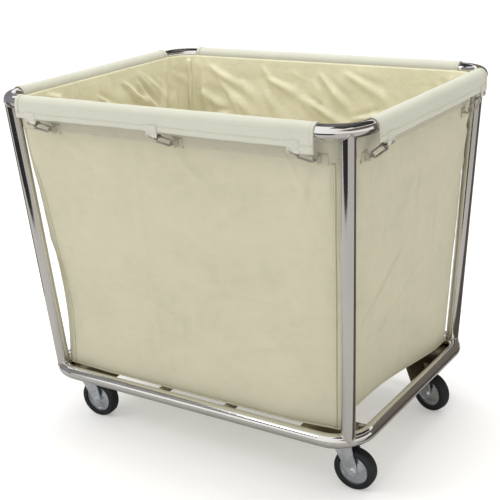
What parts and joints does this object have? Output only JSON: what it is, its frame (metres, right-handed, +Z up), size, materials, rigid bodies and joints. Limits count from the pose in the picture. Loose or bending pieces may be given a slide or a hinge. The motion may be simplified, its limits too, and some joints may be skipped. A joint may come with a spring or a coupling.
{
  "type": "laundry cart",
  "caption": "Laundry cart: a stainless tube frame on swivel castors with a removable canvas bag, held over the top ring by flaps and spring snap hooks.",
  "frame": {"origin": "on the floor, under the middle of the cart", "axes": "+X along the long side, +Y towards the back, +Z up"},
  "size_m": [0.9826, 0.7666, 0.8678],
  "materials": {
    "stainless_tube": "bright polished stainless steel",
    "zinc_steel": "zinc plated pressed steel",
    "tyre_rubber": "black rubber tyre",
    "canvas": "cream woven canvas",
    "webbing": "cream webbing",
    "hook_metal": "nickel plated wire and castings"
  },
  "bodies": {
    "frame": {"top_ring": "stainless_tube", "bottom_ring": "stainless_tube", "post_front_left": "stainless_tube", "post_front_right": "stainless_tube", "post_back_right": "stainless_tube", "post_back_left": "stainless_tube", "corner_plate_front_left": "stainless_tube", "corner_plate_front_right": "stainless_tube", "corner_plate_back_right": "stainless_tube", "corner_plate_back_left": "stainless_tube", "crossbar_left": "stainless_tube", "crossbar_right": "stainless_tube", "castor_plates": "zinc_steel", "kingpins": "zinc_steel", "swivel_balls": "zinc_steel", "castor_bolts": "zinc_steel", "castor_nuts": "zinc_steel", "bag_front": "canvas", "bag_right": "canvas", "bag_back": "canvas", "bag_left": "canvas", "bag_bottom": "canvas", "flap_front": "canvas", "flap_back": "canvas", "flap_right": "canvas", "flap_left": "canvas", "webbing_tabs": "webbing", "d_rings": "hook_metal", "snap_hook_bodies": "hook_metal", "snap_hook_eyes": "hook_metal"},
    "swivel_front_left": {"fork_front_left": "zinc_steel", "axle_front_left": "zinc_steel", "bush_front_left": "zinc_steel"},
    "wheel_front_left": {"wheel_centre_front_left": "zinc_steel", "tyre_front_left": "tyre_rubber"},
    "swivel_front_right": {"fork_front_right": "zinc_steel", "axle_front_right": "zinc_steel", "bush_front_right": "zinc_steel"},
    "wheel_front_right": {"wheel_centre_front_right": "zinc_steel", "tyre_front_right": "tyre_rubber"},
    "swivel_back_right": {"fork_back_right": "zinc_steel", "axle_back_right": "zinc_steel", "bush_back_right": "zinc_steel"},
    "wheel_back_right": {"wheel_centre_back_right": "zinc_steel", "tyre_back_right": "tyre_rubber"},
    "swivel_back_left": {"fork_back_left": "zinc_steel", "axle_back_left": "zinc_steel", "bush_back_left": "zinc_steel"},
    "wheel_back_left": {"wheel_centre_back_left": "zinc_steel", "tyre_back_left": "tyre_rubber"},
    "trigger_front_1": {"gate_front_1": "hook_metal"},
    "trigger_front_2": {"gate_front_2": "hook_metal"},
    "trigger_front_3": {"gate_front_3": "hook_metal"},
    "trigger_back_1": {"gate_back_1": "hook_metal"},
    "trigger_back_2": {"gate_back_2": "hook_metal"},
    "trigger_back_3": {"gate_back_3": "hook_metal"},
    "trigger_right_1": {"gate_right_1": "hook_metal"},
    "trigger_right_2": {"gate_right_2": "hook_metal"},
    "trigger_left_1": {"gate_left_1": "hook_metal"},
    "trigger_left_2": {"gate_left_2": "hook_metal"}
  },
  "joints": [
    {"name": "castor_swivel_front_left", "type": "hinge", "parent": "frame", "child": "swivel_front_left", "pos_m": [-0.373, -0.234, 0.12], "axis": [0, 0, 1], "continuous": true},
    {"name": "wheel_spin_front_left", "type": "hinge", "parent": "swivel_front_left", "child": "wheel_front_left", "pos_m": [-0.34906, -0.23233, 0.05], "axis": [-0.0698, 0.9976, 0], "continuous": true},
    {"name": "castor_swivel_front_right", "type": "hinge", "parent": "frame", "child": "swivel_front_right", "pos_m": [0.373, -0.234, 0.12], "axis": [0, 0, 1], "continuous": true},
    {"name": "wheel_spin_front_right", "type": "hinge", "parent": "swivel_front_right", "child": "wheel_front_right", "pos_m": [0.39698, -0.23316, 0.05], "axis": [-0.0349, 0.9994, 0], "continuous": true},
    {"name": "castor_swivel_back_right", "type": "hinge", "parent": "frame", "child": "swivel_back_right", "pos_m": [0.373, 0.198, 0.12], "axis": [0, 0, 1], "continuous": true},
    {"name": "wheel_spin_back_right", "type": "hinge", "parent": "swivel_back_right", "child": "wheel_back_right", "pos_m": [0.39629, 0.19219, 0.05], "axis": [0.2419, 0.9703, 0], "continuous": true},
    {"name": "castor_swivel_back_left", "type": "hinge", "parent": "frame", "child": "swivel_back_left", "pos_m": [-0.373, 0.198, 0.12], "axis": [0, 0, 1], "continuous": true},
    {"name": "wheel_spin_back_left", "type": "hinge", "parent": "swivel_back_left", "child": "wheel_back_left", "pos_m": [-0.39629, 0.20381, 0.05], "axis": [-0.2419, -0.9703, 0], "continuous": true},
    {"name": "gate_press_front_1", "type": "hinge", "parent": "frame", "child": "trigger_front_1", "pos_m": [-0.33458, -0.3624, 0.80687], "axis": [-0.5732, 0.6716, -0.4695], "range_deg": [0, 20], "stiffness_Nm_per_rad": 0.02, "springref_deg": -20.05},
    {"name": "gate_press_front_2", "type": "hinge", "parent": "frame", "child": "trigger_front_2", "pos_m": [0.01042, -0.3624, 0.80687], "axis": [-0.5732, 0.6716, -0.4695], "range_deg": [0, 20], "stiffness_Nm_per_rad": 0.02, "springref_deg": -20.05},
    {"name": "gate_press_front_3", "type": "hinge", "parent": "frame", "child": "trigger_front_3", "pos_m": [0.35542, -0.3624, 0.80687], "axis": [-0.5732, 0.6716, -0.4695], "range_deg": [0, 20], "stiffness_Nm_per_rad": 0.02, "springref_deg": -20.05},
    {"name": "gate_press_back_1", "type": "hinge", "parent": "frame", "child": "trigger_back_1", "pos_m": [0.33458, 0.3624, 0.80687], "axis": [0.5732, -0.6716, -0.4695], "range_deg": [0, 20], "stiffness_Nm_per_rad": 0.02, "springref_deg": -20.05},
    {"name": "gate_press_back_2", "type": "hinge", "parent": "frame", "child": "trigger_back_2", "pos_m": [-0.01042, 0.3624, 0.80687], "axis": [0.5732, -0.6716, -0.4695], "range_deg": [0, 20], "stiffness_Nm_per_rad": 0.02, "springref_deg": -20.05},
    {"name": "gate_press_back_3", "type": "hinge", "parent": "frame", "child": "trigger_back_3", "pos_m": [-0.35542, 0.3624, 0.80687], "axis": [0.5732, -0.6716, -0.4695], "range_deg": [0, 20], "stiffness_Nm_per_rad": 0.02, "springref_deg": -20.05},
    {"name": "gate_press_right_1", "type": "hinge", "parent": "frame", "child": "trigger_right_1", "pos_m": [0.47001, -0.24809, 0.80551], "axis": [0.6267, -0.636, 0.4503], "range_deg": [0, 20], "stiffness_Nm_per_rad": 0.02, "springref_deg": -20.05},
    {"name": "gate_press_right_2", "type": "hinge", "parent": "frame", "child": "trigger_right_2", "pos_m": [0.46841, 0.25704, 0.79943], "axis": [0.2242, -0.9252, 0.3061], "range_deg": [0, 20], "stiffness_Nm_per_rad": 0.02, "springref_deg": -20.05},
    {"name": "gate_press_left_1", "type": "hinge", "parent": "frame", "child": "trigger_left_1", "pos_m": [-0.47001, 0.24809, 0.80551], "axis": [-0.6267, 0.636, 0.4503], "range_deg": [0, 20], "stiffness_Nm_per_rad": 0.02, "springref_deg": -20.05},
    {"name": "gate_press_left_2", "type": "hinge", "parent": "frame", "child": "trigger_left_2", "pos_m": [-0.46841, -0.25704, 0.79943], "axis": [-0.2242, 0.9252, 0.3061], "range_deg": [0, 20], "stiffness_Nm_per_rad": 0.02, "springref_deg": -20.05}
  ]
}
